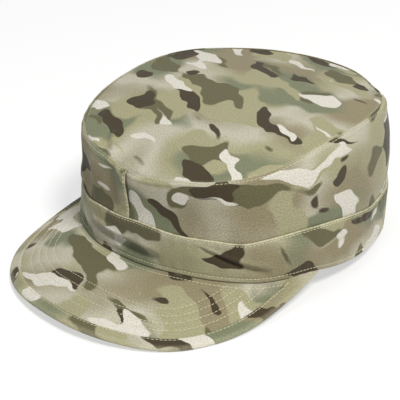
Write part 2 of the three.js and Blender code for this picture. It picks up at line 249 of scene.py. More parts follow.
def puckers(along, away, middle, period, width, rise):
    """Small gathers beside a row of stitches, unevenly spaced along it (all in mm)."""
    drift = 0.9 * np.sin(along / 31.0) + 0.7 * np.sin(along / 12.7 + 1.3)
    return rise * np.sin(2 * math.pi * along / period + 3 * drift) * bell((away - middle) / width)


def away_from_join(angle):
    """0 at the back centre, where the two ends of a piece meet, and 1 away from it."""
    return 1 - bell(turn(angle, 180.0) / JOIN_WIDTH)


def sewn_sheet(name, columns, rows, place):
    """A grid of cloth. place(u, v) gives each point, its place on the flat cloth in mm, and its wear and
    painted highlight.
    """
    bpy.ops.object.select_all(action="DESELECT")
    bpy.ops.mesh.primitive_grid_add(x_subdivisions=columns, y_subdivisions=rows, size=1.0)
    sheet = bpy.context.object
    sheet.name = name
    mesh = sheet.data
    mesh.name = name
    flat = np.empty(len(mesh.vertices) * 3)
    mesh.vertices.foreach_get("co", flat)
    flat = flat.reshape(-1, 3)
    points, cloth, wear_and_highlight = place(flat[:, 0] + 0.5, flat[:, 1] + 0.5)
    mesh.vertices.foreach_set("co", at_rest(points).ravel())
    corners = np.empty(len(mesh.loops), np.int32)
    mesh.loops.foreach_get("vertex_index", corners)
    mesh.uv_layers[0].name = "cloth"
    mesh.uv_layers["cloth"].data.foreach_set("uv", (cloth[corners] * MM).ravel())
    # Each point's share of pale wear and painted highlight, read by the printed cloth.
    wear_and_highlight_layer = mesh.attributes.new("wear_and_highlight", "FLOAT", "POINT")
    wear_and_highlight_layer.data.foreach_set("value", np.broadcast_to(wear_and_highlight, len(points)).astype(np.float32))
    mesh.update()
    return sheet


def close_cloth(sheet, thickness=0.0):
    """Joins the ends that meet, and gives an open sheet its thickness, inwards."""
    bpy.ops.object.select_all(action="DESELECT")
    sheet.select_set(True)
    bpy.context.view_layer.objects.active = sheet
    bpy.ops.object.mode_set(mode="EDIT")
    bpy.ops.mesh.select_all(action="SELECT")
    bpy.ops.mesh.remove_doubles(threshold=1e-6)
    bpy.ops.object.mode_set(mode="OBJECT")
    if thickness:
        solid = sheet.modifiers.new("thickness", "SOLIDIFY")
        solid.thickness = thickness * MM
        solid.offset = -1.0
        solid.material_offset = 1
        solid.material_offset_rim = 0
        bpy.ops.object.modifier_apply(modifier=solid.name)
    bpy.ops.object.shade_smooth()


def add_node(tree, kind, sources=(), **settings):
    """A node of a material, with its inputs linked or set from (input, source or value) pairs."""
    node = tree.nodes.new(kind)
    for key, value in settings.items():
        setattr(node, key, value)
    for key, source in sources:
        if isinstance(source, bpy.types.NodeSocket):
            tree.links.new(source, node.inputs[key])
        else:
            node.inputs[key].default_value = source
    return node


def noise(tree, place, scale, detail):
    return add_node(tree, "ShaderNodeTexNoise", [("Vector", place), ("Scale", scale), ("Detail", detail)])


def map_range(tree, source, ends=(0.0, 1.0), to_ends=(0.0, 1.0)):
    """A value stretched so that its ends come to lie at the other ends."""
    sources = [("Value", source), ("From Min", ends[0]), ("From Max", ends[1])]
    sources += [("To Min", to_ends[0]), ("To Max", to_ends[1])]
    return add_node(tree, "ShaderNodeMapRange", sources).outputs["Result"]


def scaled(tree, colour, factor):
    sources = [(0, colour), ("Scale", factor)]
    return add_node(tree, "ShaderNodeVectorMath", sources, operation="SCALE").outputs[0]


def blended(tree, share, first, second):
    """The first colour, with a share of the second."""
    sources = [("Factor", share), ("A", first), ("B", second)]
    return add_node(tree, "ShaderNodeMix", sources, data_type="RGBA").outputs["Result"]


def new_material(name, looks):
    """A material, its node tree and its shader, which looks gives values by name."""
    material = bpy.data.materials.new(name)
    material.use_nodes = True
    shader = material.node_tree.nodes["Principled BSDF"]
    for key, value in looks.items():
        shader.inputs[key].default_value = value
    return material, material.node_tree, shader


def shade(red, green, blue):
    """A colour given in display values of 0 to 255."""
    parts = []
    for value in (red, green, blue):
        v = value / 255
        parts.append(v / 12.92 if v <= 0.04045 else ((v + 0.055) / 1.055) ** 2.4)
    return (*parts, 1.0)


STONE = shade(171, 167, 149)
KHAKI = shade(148, 144, 113)
SAGE = shade(111, 115, 90)
OLIVE = shade(91, 88, 62)
TAN = shade(130, 121, 95)
BARK = shade(62, 53, 37)
CREAM = shade(196, 192, 181)
THREAD = shade(206, 201, 170)
LINING = shade(140, 136, 110)
TWILL_SLANT = math.radians(58)
TWILL_SCALE = 420.0
TWILL_RELIEF = 0.00016
PRINT_WANDER = 0.019  # how far in metres the edges of the print's patches stray

# The print's ground, as colours over the range of a soft noise
PRINT_GROUND = table(
    "at colour",
    (0.30, SAGE),
    (0.42, KHAKI),
    (0.53, STONE),
    (0.66, TAN),
)
# Patches of the print in the order they are laid: seed, size in mm along and across the cloth, slant in
# degrees, threshold of the noise that cuts them out, softness of their edge, colour
PRINT_PATCHES = table(
    "seed size slant over soft colour",
    (3, (76, 46), 12, 0.57, 0.06, TAN),
    (11, (58, 34), -14, 0.57, 0.03, SAGE),
    (19, (46, 25), 10, 0.60, 0.012, KHAKI),
    (27, (41, 21), -8, 0.63, 0.010, OLIVE),
    (36, (35, 15), 8, 0.655, 0.006, BARK),
    (47, (33, 14), -9, 0.67, 0.006, CREAM),
)


def print_group():
    """Blotches of six colours over a soft ground. It takes a place on the cloth in metres."""
    tree = bpy.data.node_groups.new("blotch_print", "ShaderNodeTree")
    tree.interface.new_socket("Place", in_out="INPUT", socket_type="NodeSocketVector")
    tree.interface.new_socket("Colour", in_out="OUTPUT", socket_type="NodeSocketColor")
    start = add_node(tree, "NodeGroupInput").outputs["Place"]
    wander = noise(tree, start, 52.0, 1.3).outputs["Color"]
    sources = [(0, wander), (1, (0.5, 0.5, 0.5))]
    centred = add_node(tree, "ShaderNodeVectorMath", sources, operation="SUBTRACT").outputs[0]
    sources = [(0, start), (1, scaled(tree, centred, PRINT_WANDER))]
    place = add_node(tree, "ShaderNodeVectorMath", sources, operation="ADD").outputs[0]

    ramp = add_node(tree, "ShaderNodeValToRGB", [("Fac", noise(tree, start, 13.0, 1.5).outputs["Fac"])])
    ramp.color_ramp.interpolation = "EASE"
    for ground in PRINT_GROUND:
        ramp.color_ramp.elements.new(ground["at"]).color = ground["colour"]
    ramp.color_ramp.elements.remove(ramp.color_ramp.elements[-1])
    ramp.color_ramp.elements.remove(ramp.color_ramp.elements[0])
    colour = ramp.outputs["Color"]
    for patch in PRINT_PATCHES:
        along, across = patch["size"]
        seed, over, soft = patch["seed"], patch["over"], patch["soft"]
        sources = [
            ("Vector", place),
            ("Location", (seed * 1.7, seed * 0.9, seed * 2.3)),
            ("Rotation", (0, 0, math.radians(patch["slant"]))),
            ("Scale", (1000 / along, 1000 / across, 1.0)),
        ]
        laid = add_node(tree, "ShaderNodeMapping", sources).outputs["Vector"]
        spots = noise(tree, laid, 1.0, 0.6)
        spots.inputs["Roughness"].default_value = 0.3
        inside = map_range(tree, spots.outputs["Fac"], (over - soft, over + soft))
        colour = blended(tree, inside, colour, patch["colour"])
    add_node(tree, "NodeGroupOutput", [("Colour", colour)])
    return tree


blotch_print = print_group()


def add_twill(tree, cloth, shader):
    """The relief of a fine twill weave, laid on a shader."""
    sources = [("Vector", cloth), ("Rotation", (0, 0, TWILL_SLANT))]
    slanted = add_node(tree, "ShaderNodeMapping", sources).outputs["Vector"]
    sources = [("Vector", slanted), ("Scale", TWILL_SCALE), ("Distortion", 0.6), ("Detail", 0.0)]
    rib = add_node(tree, "ShaderNodeTexWave", sources).outputs["Fac"]
    slub = noise(tree, cloth, 1500.0, 2.0).outputs["Fac"]
    weave = add_node(tree, "ShaderNodeMath", [(0, rib), (1, slub)], operation="ADD").outputs[0]
    sources = [("Height", weave), ("Strength", 0.35), ("Distance", TWILL_RELIEF)]
    tree.links.new(add_node(tree, "ShaderNodeBump", sources).outputs["Normal"], shader.inputs["Normal"])


def printed_cloth(name, shift, degrees):
    """Matt printed twill. shift, in mm, and degrees lay the print differently on each piece."""
    looks = {"Specular IOR Level": 0.2, "Sheen Weight": 0.12, "Sheen Roughness": 0.5}
    material, tree, shader = new_material(name, looks)
    cloth = add_node(tree, "ShaderNodeUVMap", uv_map="cloth").outputs["UV"]
    sources = [
        ("Vector", cloth),
        ("Location", (shift[0] * MM, shift[1] * MM, 0)),
        ("Rotation", (0, 0, math.radians(degrees))),
    ]
    laid = add_node(tree, "ShaderNodeMapping", sources).outputs["Vector"]
    pattern = add_node(tree, "ShaderNodeGroup", [("Place", laid)], node_tree=blotch_print).outputs["Colour"]
    grain = noise(tree, cloth, 1250.0, 1.0).outputs["Fac"]
    dyed = scaled(tree, pattern, map_range(tree, grain, (0.3, 0.7), (0.78, 1.22)))
    # Folded edges are painted pale in the thread's colour: partly rubbed yarn, partly a painted highlight
    # where light catches them.
    wear_and_highlight = add_node(tree, "ShaderNodeAttribute", attribute_name="wear_and_highlight").outputs["Fac"]
    patchy_wear_and_highlight = add_node(tree, "ShaderNodeMath", [(0, wear_and_highlight), (1, grain)], operation="MULTIPLY").outputs[0]
    tree.links.new(blended(tree, patchy_wear_and_highlight, dyed, THREAD), shader.inputs["Base Color"])
    tree.links.new(map_range(tree, grain, to_ends=(0.8, 0.95)), shader.inputs["Roughness"])
    add_twill(tree, cloth, shader)
    return material


def place_band(u, v):
    """The band's whole section as a closed loop: foot fold, outside, top fold, inside."""
    angle = u * 360 - 180
    row = np.round(v * BAND_ROWS)
    foot_turn = np.clip(row / FOLD_ROWS, 0, 1) * math.pi
    outside = np.clip((row - FOLD_ROWS) / OUTSIDE_ROWS, 0, 1)
    top_turn = np.clip((row - FOLD_ROWS - OUTSIDE_ROWS) / FOLD_ROWS, 0, 1) * math.pi
    inside = np.clip((row - 2 * FOLD_ROWS - OUTSIDE_ROWS) / INSIDE_ROWS, 0, 1)
    half = BAND_CLOTH / 2
    height = band_height(angle)
    level = (half + (outside - inside) * (height - 2 * half)) / height
    r, z = band_outside(angle, level)
    side = -half - half * np.cos(foot_turn)
    side = np.where(outside >= 1, -half + half * np.cos(top_turn), np.where(outside > 0, 0, side))
    z = z - half * np.sin(foot_turn) + half * np.sin(top_turn)

    length = np.radians(angle) * BAND_RADIUS
    from_foot = level * height
    from_top = height - from_foot
    # The stitches draw the cloth in, and it puckers beside them.
    out = groove(from_top, BAND_TOP_STITCH, depth=0.45, width=0.75)
    out = out + groove(from_foot, BAND_FOOT_STITCH, depth=0.38, width=0.8)
    gathers = puckers(length, from_top, middle=4.4, period=7.3, width=3.4, rise=0.16)
    gathers = gathers + puckers(length + 40, from_foot, middle=5.2, period=8.1, width=3.8, rise=0.14)
    out = out + gathers * away_from_join(angle)
    out = out + creases(BAND_CREASES, angle, level, BAND_DEGREE, BAND_MID_HEIGHT)
    points = around(angle, r, z)
    out = out + rumple(points, size=17, rise=0.28, seed=5) + rumple(points, size=7, rise=0.12, seed=6)
    cloth = np.stack([length, np.where(inside > 0, -from_foot, from_foot)], axis=-1)
    # Painted highlight and pale wear on the crests of the foot and top folds.
    wear_and_highlight = FOOT_WEAR_AND_HIGHLIGHT * np.sin(foot_turn) + TOP_WEAR_AND_HIGHLIGHT * np.sin(top_turn)
    points = around(angle, r + side + out, z)
    points[..., 2] = np.maximum(points[..., 2], surface_height(points[..., 1]))
    return points, cloth, wear_and_highlight


band = sewn_sheet("band_cloth", BAND_COLUMNS, BAND_ROWS, place_band)
close_cloth(band)
band.data.materials.append(printed_cloth("band_print", (1496, 1890), 6))
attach(band, "root")
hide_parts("band")

# Side wall
# One strip of the twill around the head, from behind the band up to the crown seam. Its two ends are lapped
# at the front centre: the end on the wearer's right is folded under and stitched down over the other.
SEAM = {"front": 93.2, "back": 90.4, "side": 86.0, "round_front": 2.41, "round_back": 1.98}
SEAM_FRONT_HEIGHT = 52.9
SEAM_BACK_HEIGHT = 85.0
SEAM_HUMP = 8.8  # how far the slant from front to back swells up
SEAM_SIDE_RISE = 0.9
WALL_SET_BACK = 2.0  # behind the band's outside
WALL_HEM_UP = 1.5  # of the wall's foot over the band's
# The wall's curve from the band to the seam is pulled by two points. Their place: mm out from the band and
# share of the height over it, then mm out from the seam and share of the height under it
WALL_LOW_OUT = -0.7
WALL_LOW_AT = 0.46
WALL_HIGH_OUT = 4.8
WALL_HIGH_AT = 0.1
WALL_BACK_OUT = 3.4  # how much farther out both are at the back
WALL_CLOTH = 0.7
WALL_RADIUS = 93  # in the mean, for lengths along the strip
WALL_SLACK = 1.03  # length up the bulging wall over its height
BEHIND_LENGTH = 30  # of the strip's part behind the band
LAP_ANGLE = 0.6
LAP_WIDTH = 7.0  # degrees
LAP_OUT = 2.0
LAP_BEHIND = 0.3  # share of it that is left behind the band
LAP_UNDER = 3.4  # degrees that the other end runs on underneath
LAP_STITCH = 1.2  # in from the folded end
LAP_CURL = 0.9  # width of the folded end's turn
LAP_STEP = 0.55  # its depth
CROWN_STITCH = 1.35  # below the crown seam
RIDGE_WIDTH = 6.5  # of the seam's turned edges under the wall
RIDGE_RISE = 0.55
ROLL_RADIUS = 0.75  # of the turned edge along the crown seam
ROLL_TURN = 0.75 * math.pi

# Rows and columns of the strip's grid
BEHIND_ROWS = 14
WALL_ROWS = 54
ROLL_ROWS = 4
STRIP_ROWS = BEHIND_ROWS + WALL_ROWS + ROLL_ROWS
WALL_COLUMNS = 600

SEAM_WAVES = table(
    "angle width rise",
    (-36, 9, -1.8),
    (-26, 7, 1.3),
    (-13, 8, 2.2),
    (7, 7, -1.3),
    (23, 7, 1.0),
    (51, 12, -1.7),
    (87, 13, 1.5),
    (150, 16, -1.0),
    (-78, 14, -0.6),
    (-138, 24, -1.3),
    (-60, 12, -0.9),
    (175, 20, -0.7),
)
# Moves of the seam away from its oval: angle and width in degrees, rise as mm outwards
SEAM_BULGES = table(
    "angle width rise",
    (126, 12, 1.9),
    (147, 9, -1.6),
)
WALL_FOLDS = table(
    "angle width level reach lean out",
    (-50, 13, 0.24, 0.24, 0, 1.2),
    (-35, 7, 0.12, 0.12, 0, 5.5),
    (-30, 6, 0.5, 0.5, 4, -1.6),
    (-18, 6, 0.5, 0.5, 0, 1.8),
    (-6, 4, 0.6, 0.4, -2, -1.2),
    (40, 14, 0.5, 0.4, 10, -0.9),
    (75, 12, 0.5, 0.4, -8, 0.8),
    (104, 8, 0.45, 0.4, 6, -1.2),
    (122, 15, 0.62, 0.3, 0, -2.0),
    (127, 10, 0.92, 0.1, 0, 2.4),
    (160, 14, 0.5, 0.5, 0, -1.4),
    (-70, 13, 0.5, 0.4, 6, -1.2),
    (-115, 14, 0.5, 0.5, -6, 1.0),
    (-18.7, 2.4, 0.5, 0.6, 5, 1.0),
    (-9.4, 2.6, 0.5, 0.6, 3, -1.3),
    (21, 6, 0.55, 0.4, 14, -0.6),
    (58, 5, 0.4, 0.3, 22, -0.5),
    (92, 5, 0.35, 0.3, -10, -0.5),
    (-150, 8, 0.5, 0.4, 16, -0.9),
    (-92, 6, 0.5, 0.4, -14, -0.7),
)


def bezier(t, p0, p1, p2, p3):
    m = 1 - t
    return m**3 * p0 + 3 * m * m * t * p1 + 3 * m * t * t * p2 + t**3 * p3


def slant_height(x, y):
    """Height of the crown's slanting surface, without its dome, over a point of the cap's plan."""
    back = (y + SEAM["front"]) / (SEAM["front"] + SEAM["back"])
    slant = SEAM_FRONT_HEIGHT + (SEAM_BACK_HEIGHT - SEAM_FRONT_HEIGHT) * back
    return slant + SEAM_HUMP * 4 * back * (1 - back) + SEAM_SIDE_RISE * (x / SEAM["side"]) ** 2


def seam_radius(angle):
    return oval_radius(SEAM, angle) + waves(SEAM_BULGES, angle)


def seam_height(angle):
    p = around(angle, seam_radius(angle), 0)
    return slant_height(p[..., 0], p[..., 1]) + waves(SEAM_WAVES, angle)


def wall_outside(angle, level, lap):
    """Radius and height of the wall above the band, from the band's top (0) to the crown seam (1)."""
    r_low, z_low = band_outside(angle, 1.0)
    r_low = r_low - WALL_SET_BACK
    r_high, z_high = seam_radius(angle), seam_height(angle)
    height = z_high - z_low
    back = WALL_BACK_OUT * back_share(angle)
    r = bezier(level, r_low, r_low + WALL_LOW_OUT + back, r_high + WALL_HIGH_OUT + back, r_high)
    z = bezier(level, z_low, z_low + WALL_LOW_AT * height, z_high - WALL_HIGH_AT * height, z_high)
    # Folds die away at the band and at the seam, but the lap stays.
    ease = np.sin(math.pi * np.clip(level, 0, 1)) ** 0.7
    return r + folds(WALL_FOLDS, angle, level) * ease + lap * np.maximum(ease, 0.55), z


def wall_angles():
    """Angles of the strip's columns, close together where its folded end turns under."""
    even = np.linspace(LAP_ANGLE - LAP_UNDER, LAP_ANGLE + 359.1, WALL_COLUMNS - 6)
    fine = LAP_ANGLE + 360 - np.array([0.6, 0.4, 0.25, 0.12, 0.04, 0.0, 0.0])
    return np.concatenate([even, fine])


def plain_cloth(name, colour):
    """The unprinted inner side of the same twill."""
    material, tree, shader = new_material(name, {"Specular IOR Level": 0.2, "Roughness": 0.92})
    cloth = add_node(tree, "ShaderNodeUVMap", uv_map="cloth").outputs["UV"]
    blots = noise(tree, cloth, 60.0, 4.0).outputs["Fac"]
    dyed = scaled(tree, colour[:3], map_range(tree, blots, to_ends=(0.82, 1.14)))
    tree.links.new(dyed, shader.inputs["Base Color"])
    add_twill(tree, cloth, shader)
    return material


def place_wall(u, v):
    column = np.round(u * WALL_COLUMNS).astype(int)
    angle = wall_angles()[column]
    to_end = LAP_ANGLE + 360 - angle
    lap = np.where(to_end < LAP_WIDTH, LAP_OUT * (1 - (to_end / LAP_WIDTH) ** 2), 0)
    under = np.maximum(0, LAP_ANGLE - angle) / LAP_UNDER
    row = np.round(v * STRIP_ROWS)
    behind = np.clip(row / BEHIND_ROWS, 0, 1)
    level = np.clip((row - BEHIND_ROWS) / WALL_ROWS, 0, 1)
    rolled = np.clip((row - BEHIND_ROWS - WALL_ROWS) / ROLL_ROWS, 0, 1)
    roll = rolled * ROLL_TURN

    height = seam_height(angle) - band_top_height(angle)
    from_seam = (1 - level) * height * WALL_SLACK
    above_band = level * height
    r, z = wall_outside(angle, level, lap)
    hem = WALL_HEM_UP / band_height(angle)
    level_behind = hem + (1 - hem) * behind
    r_behind, z_behind = band_outside(angle, level_behind)
    r_behind = r_behind + creases(BAND_CREASES, angle, level_behind, BAND_DEGREE, BAND_MID_HEIGHT)
    r = np.where(behind < 1, r_behind - WALL_SET_BACK + LAP_BEHIND * lap, r)
    z = np.where(behind < 1, z_behind, z)

    length = np.radians(angle) * WALL_RADIUS
    points = around(angle, r, z)
    # The seam's turned edges lie under the stitches and stand out as a low ridge.
    out = RIDGE_RISE * np.clip(1 - (from_seam / RIDGE_WIDTH) ** 4, 0, 1)
    out = out + groove(from_seam, CROWN_STITCH, depth=0.48, width=0.7)
    out = out + puckers(length, from_seam, middle=5.0, period=6.7, width=4.0, rise=0.17)
    out = out + puckers(length + 15, above_band, middle=3.0, period=9.1, width=4.5, rise=0.14)
    at_lap = np.radians(to_end) * WALL_RADIUS
    out = out + groove(at_lap, LAP_STITCH, depth=0.3, width=0.6)
    out = out + puckers(above_band, at_lap, middle=4.0, period=6.3, width=3.0, rise=0.2)
    out = out + rumple(points, size=21, rise=0.42, seed=1) + rumple(points, size=9, rise=0.2, seed=2)
    out = np.where(behind < 1, 0, out) * (1 - 0.8 * (under > 0))
    r = r + out - ROLL_RADIUS * (1 - np.cos(roll))
    z = z + ROLL_RADIUS * np.sin(roll)
    # The folded end curls in by its own thickness, and the other end lies lower beneath it.
    curl = np.clip(1 - at_lap / LAP_CURL, 0, 1)
    r = r - LAP_STEP * curl**2 - LAP_STEP * (column >= WALL_COLUMNS)
    r = r - 0.25 * np.clip(under * 6, 0, 1)
    # Just beside the folded end, the cloth under it is drawn in.
    beside = groove(angle, LAP_ANGLE, depth=0.45, width=1.3) * np.sin(math.pi * level) ** 0.5
    r = r + np.where(to_end > 180, beside, 0)
    along = above_band + BEHIND_LENGTH * (behind - 1) + ROLL_RADIUS * roll
    cloth = np.stack([np.where(under > 0, -length, length), along], axis=-1)
    # Painted highlight and pale wear along the rolled top edge and the lap's folded end.
    wear_and_highlight = 0.2 * np.sin(rolled * math.pi) + 0.6 * bell(at_lap / 0.8)
    return around(angle, r, z), cloth, np.clip(wear_and_highlight, 0, 1)


wall = sewn_sheet("wall_cloth", WALL_COLUMNS, STRIP_ROWS, place_wall)
wall.data.materials.append(printed_cloth("wall_print", (1020, 942), 6))
wall.data.materials.append(plain_cloth("wall_inside", LINING))
close_cloth(wall, WALL_CLOTH)
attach(wall, "root")
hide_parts("side_wall")

# Crown top
# The oval top panel. Its edge is sewn to the top of the wall and turned down inside it, so it rises from the
# seam in a low dome, with tucks and dents where the front has slumped.
CROWN_DOME = 5.2
CROWN_DOME_POWER = 2.6
CROWN_CLOTH = 0.7
CROWN_RADIUS = 90  # in the mean, for lengths along its edge
CROWN_DEGREE = 1.5  # mm along its front edge to a degree
EDGE_INSET = 0.5  # of the panel's fold from the seam
EDGE_IN = 0.9  # how far in and down the turned edge runs
EDGE_DOWN = 2.2
EDGE_ROWS = 5
PANEL_ROWS = 60
PANEL_SPREAD = 1.35  # draws the rows closer together near the seam
CROWN_COLUMNS = 480
# Dents: place as shares of the way from the middle to the side and to the back, size as a share, rise in mm
CROWN_DENTS = table(
    "right back size rise",
    (-0.28, -0.78, 0.24, -2.6),
    (-0.02, -0.86, 0.13, -1.4),
    (0.45, -0.45, 0.3, 0.8),
    (0.35, 0.35, 0.4, -0.8),
    (-0.4, 0.75, 0.5, -2.9),
)
# Tucks beside the seam: angle and width in degrees, reach in mm from where they are deepest, rise in mm
TUCK_DEEPEST = 2.0  # in from the seam
CROWN_TUCKS = table(
    "angle width reach rise",
    (-0.6, 2.2, 3.5, -1.3),
    (-7.5, 4.6, 5.5, -1.6),
    (-20.5, 2.4, 12.0, -1.4),
    (-14, 3.0, 9.0, 1.0),
    (6, 3.0, 6.0, 0.6),
    (33, 3.0, 6.0, -0.5),
    (-46, 4.0, 8.0, -0.8),
    (140, 4.0, 9.0, -0.6),
    (-140, 4.0, 9.0, -0.6),
)
# Sharp creases: from and to as (angle, mm in from the seam)
CROWN_CREASES = table(
    "from to widths depth lip",
    ((-13.5, 3.6), (-28.5, 12.0), (1.5, 2.4), 2.3, 1.9),
)
SEAM_VALLEY = 0.8  # depth of the panel behind the seam at the front
LAP_VALLEY = 1.5  # how much deeper it is beside the lap
LAP_VALLEY_WIDTH = 10  # degrees
VALLEY_WIDTH = 1.4
CALM_EDGE = 1.2  # how near to the seam the panel's bumps die away


def crown_rise(angle, share):
    """Rise of the top panel over the slant, from its middle (0) to its seam (1)."""
    p = around(angle, share * seam_radius(angle), 0)
    right = p[..., 0] / SEAM["side"]
    back = p[..., 1] / np.where(p[..., 1] < 0, SEAM["front"], SEAM["back"])
    dents = 0.0
    for d in CROWN_DENTS:
        dents = dents + d["rise"] * bell(np.hypot(right - d["right"], back - d["back"]) / d["size"])
    dome = CROWN_DOME * (1 - share**CROWN_DOME_POWER)
    return dome + dents * (1 - share**8) + waves(SEAM_WAVES, angle) * share**6


def place_crown(u, v):
    angle = u * 360 - 180
    row = np.round(v * (EDGE_ROWS + PANEL_ROWS))
    edge = np.clip(row / EDGE_ROWS, 0, 1)
    share = 1 - np.clip((row - EDGE_ROWS) / PANEL_ROWS, 0, 1) ** PANEL_SPREAD
    outer = seam_radius(angle)
    r = share * (outer - EDGE_INSET)
    p = around(angle, r, 0)
    z = slant_height(p[..., 0], p[..., 1]) + crown_rise(angle, share)
    length = np.radians(angle) * CROWN_RADIUS
    inward = (1 - share) * outer
    lift = puckers(length, inward, middle=3.0, period=7.9, width=4.5, rise=0.16) * away_from_join(angle)
    # The turned edges under the panel swell it just inside the seam.
    lift = lift - groove(inward, 2.2, depth=0.30, width=2.0)
    for t in CROWN_TUCKS:
        away = bell((inward - TUCK_DEEPEST) / t["reach"])
        lift = lift + t["rise"] * bell(turn(angle, t["angle"]) / t["width"]) * away
    lift = lift + creases(CROWN_CREASES, angle, inward, CROWN_DEGREE, 1.0)
    points = around(angle, r, z)
    lift = lift + rumple(points, size=26, rise=0.4, seed=3) + rumple(points, size=10, rise=0.16, seed=4)
    valley = SEAM_VALLEY * front_share(angle)
    valley = valley + LAP_VALLEY * bell(turn(angle, LAP_ANGLE) / LAP_VALLEY_WIDTH)
    lift = lift * np.clip(inward / CALM_EDGE, 0, 1) + groove(inward, 0, valley, VALLEY_WIDTH)
    # The edge turns down inside the wall.
    r = r - EDGE_IN * (1 - edge) ** 2
    z = z + lift - EDGE_DOWN * (1 - edge)
    cloth = around(angle, r, 0)[..., :2]
    # Painted highlight and pale wear along the panel's edge beside the seam.
    wear_and_highlight = 0.35 * bell((inward - EDGE_INSET) / 0.8)
    return around(angle, r, z), cloth, wear_and_highlight


crown = sewn_sheet("crown_cloth", CROWN_COLUMNS, EDGE_ROWS + PANEL_ROWS, place_crown)
crown.data.materials.append(printed_cloth("crown_print", (120, 1040), 16))
crown.data.materials.append(plain_cloth("crown_inside", LINING))
close_cloth(crown, CROWN_CLOTH)
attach(crown, "root")
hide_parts("crown_top")

# Peak
# Two layers of the twill over a thin stiff board, quilted through with rows of stitches that follow its
# outline, and sewn in under the band's foot. It slopes to the front and bends over to its two ends.
PEAK_REACH = 59.6
PEAK_SLOPE = 0.32
PEAK_END_ANGLE = 77.0
# Each half of the outline is a curve, pulled sideways at the front and back along a heading at the end
PEAK_FRONT_PULL = 68.5
PEAK_END_PULL = 72.0
PEAK_END_HEADING = math.radians(76.6)
PEAK_RAISE = 0.6  # rise of the peak just outside the band's foot
PEAK_THICK = 1.3
PEAK_TUCK = 3.3  # how far the sheet runs in under the band
TUCK_SHARE = 0.05  # of the sheet's rows
CALM_ROOT = 0.125  # share of the peak, next to the band, over which its bumps die away
CALM_WIDTH = 12.0  # depth of the peak under which they do so too
PEAK_DEGREE = 2.0  # mm along its stitches to a degree
BINDING_WIDTH = 6.9
BINDING_CLOTH = 0.7
BINDING_LEAST = 5.0  # depth of the peak where its cloth ends
SEWN_GAP = 0.3
PEAK_CLEAR = 2.25  # of the sheet's middle over the surface, so that the binding fits beneath it
FLATTEN = 0.6  # height over which the sheet bends flat above the surface
PEAK_COLUMNS = 420
PEAK_ROWS = 70
COLUMN_SPREAD = 0.96  # how much closer the columns are at the ends: from 0, even, to 1
PEAK_STITCH_ROWS = [15.3, 21.0, 26.6, 32.3]  # in from the outline at the front
STITCH_ROWS_CLOSE = 0.17  # share by which the rows draw nearer to the outline at its sides
BINDING_STITCH = 5.7
# The edge is a little uneven: place along the outline from -1 to 1, width there, move in mm
PEAK_EDGE_WAVES = table(
    "at width out",
    (0.45, 0.16, 2.1),
    (0.88, 0.17, -3.3),
    (-0.05, 0.14, -1.0),
    (-0.53, 0.2, 1.9),
)


def peak_outline(t):
    """The peak's outline, from one end (-1) over the front centre (0) to the other (1)."""
    end = around(PEAK_END_ANGLE, oval_radius(RIM, PEAK_END_ANGLE), 0)
    front = -RIM["front"] - PEAK_REACH
    a = np.abs(t)
    x = bezier(a, 0, PEAK_FRONT_PULL, end[0] + PEAK_END_PULL * math.cos(PEAK_END_HEADING), end[0])
    y = bezier(a, front, front, end[1] - PEAK_END_PULL * math.sin(PEAK_END_HEADING), end[1])
    x = np.sign(t) * x
    out = sum(w["out"] * bell((t - w["at"]) / w["width"]) for w in PEAK_EDGE_WAVES) * (1 - a**10)
    scale = 1 + out / np.hypot(x, y)
    return x * scale, y * scale


OUTLINE_T = np.linspace(-1, 1, 1201)
OUTLINE_X, OUTLINE_Y = peak_outline(OUTLINE_T)
OUTLINE_ANGLE = np.degrees(np.arctan2(OUTLINE_X, -OUTLINE_Y))
OUTLINE_RADIUS = np.hypot(OUTLINE_X, OUTLINE_Y)


def outline_radius(angle):
    return np.interp(angle, OUTLINE_ANGLE, OUTLINE_RADIUS)


def inside_outline(inward, closer=0.0):
    """A line in plan at a distance inside the peak's outline, drawn closer to it at the sides by a share."""
    slope_x, slope_y = np.gradient(OUTLINE_X), np.gradient(OUTLINE_Y)
    size = np.hypot(slope_x, slope_y)
    aside = np.clip(np.abs(OUTLINE_T) / 0.5, 0, 1)
    inward = inward * (1 - closer * aside * aside * (3 - 2 * aside))
    return OUTLINE_X - inward * slope_y / size, OUTLINE_Y + inward * slope_x / size


def distance_to(line, x, y):
    """Distance in mm in plan from points to a line."""
    best = np.full(x.shape, np.inf)
    for line_x, line_y in zip(line[0][::3], line[1][::3]):
        best = np.minimum(best, (x - line_x) ** 2 + (y - line_y) ** 2)
    return np.sqrt(best)


END_X, END_Y, _ = around(PEAK_END_ANGLE, oval_radius(RIM, PEAK_END_ANGLE), 0)
END_DROP = PEAK_SLOPE * (END_Y + RIM["front"]) - RIM_DIP - rim_height(PEAK_END_ANGLE)
PEAK_ARCH = END_DROP / END_X**2


def bent_sheet(x, y):
    return -RIM_DIP + PEAK_SLOPE * (y + RIM["front"]) - PEAK_ARCH * x * x


def peak_sheet(angle, radius):
    """Height of the peak's middle sheet, which also meets the rim's own height."""
    rim = oval_radius(RIM, angle)
    share = np.clip((radius - rim) / np.maximum(outline_radius(angle) - rim, 0.5), 0, 1)
    foot = around(angle, rim, 0)
    at_rim = rim_height(angle) - bent_sheet(foot[..., 0], foot[..., 1])
    lift = PEAK_RAISE * (1 - (1 - np.minimum(1, share * 2.5)) ** 2)
    p = around(angle, np.maximum(radius, rim), 0)
    height = bent_sheet(p[..., 0], p[..., 1]) + at_rim * (1 - share) ** 2 + lift
    # Where its corners reach the surface that the cap lies on, the sheet flattens out.
    lowest = surface_height(p[..., 1]) + PEAK_CLEAR
    return lowest + FLATTEN * np.logaddexp(0, (height - lowest) / FLATTEN)


def spread_angles(u, end):
    """Angles from one end of the peak to the other, with the columns closer together at the ends."""
    return end * np.sin(math.pi * (u - 0.5) * COLUMN_SPREAD) / math.sin(math.pi * COLUMN_SPREAD / 2)


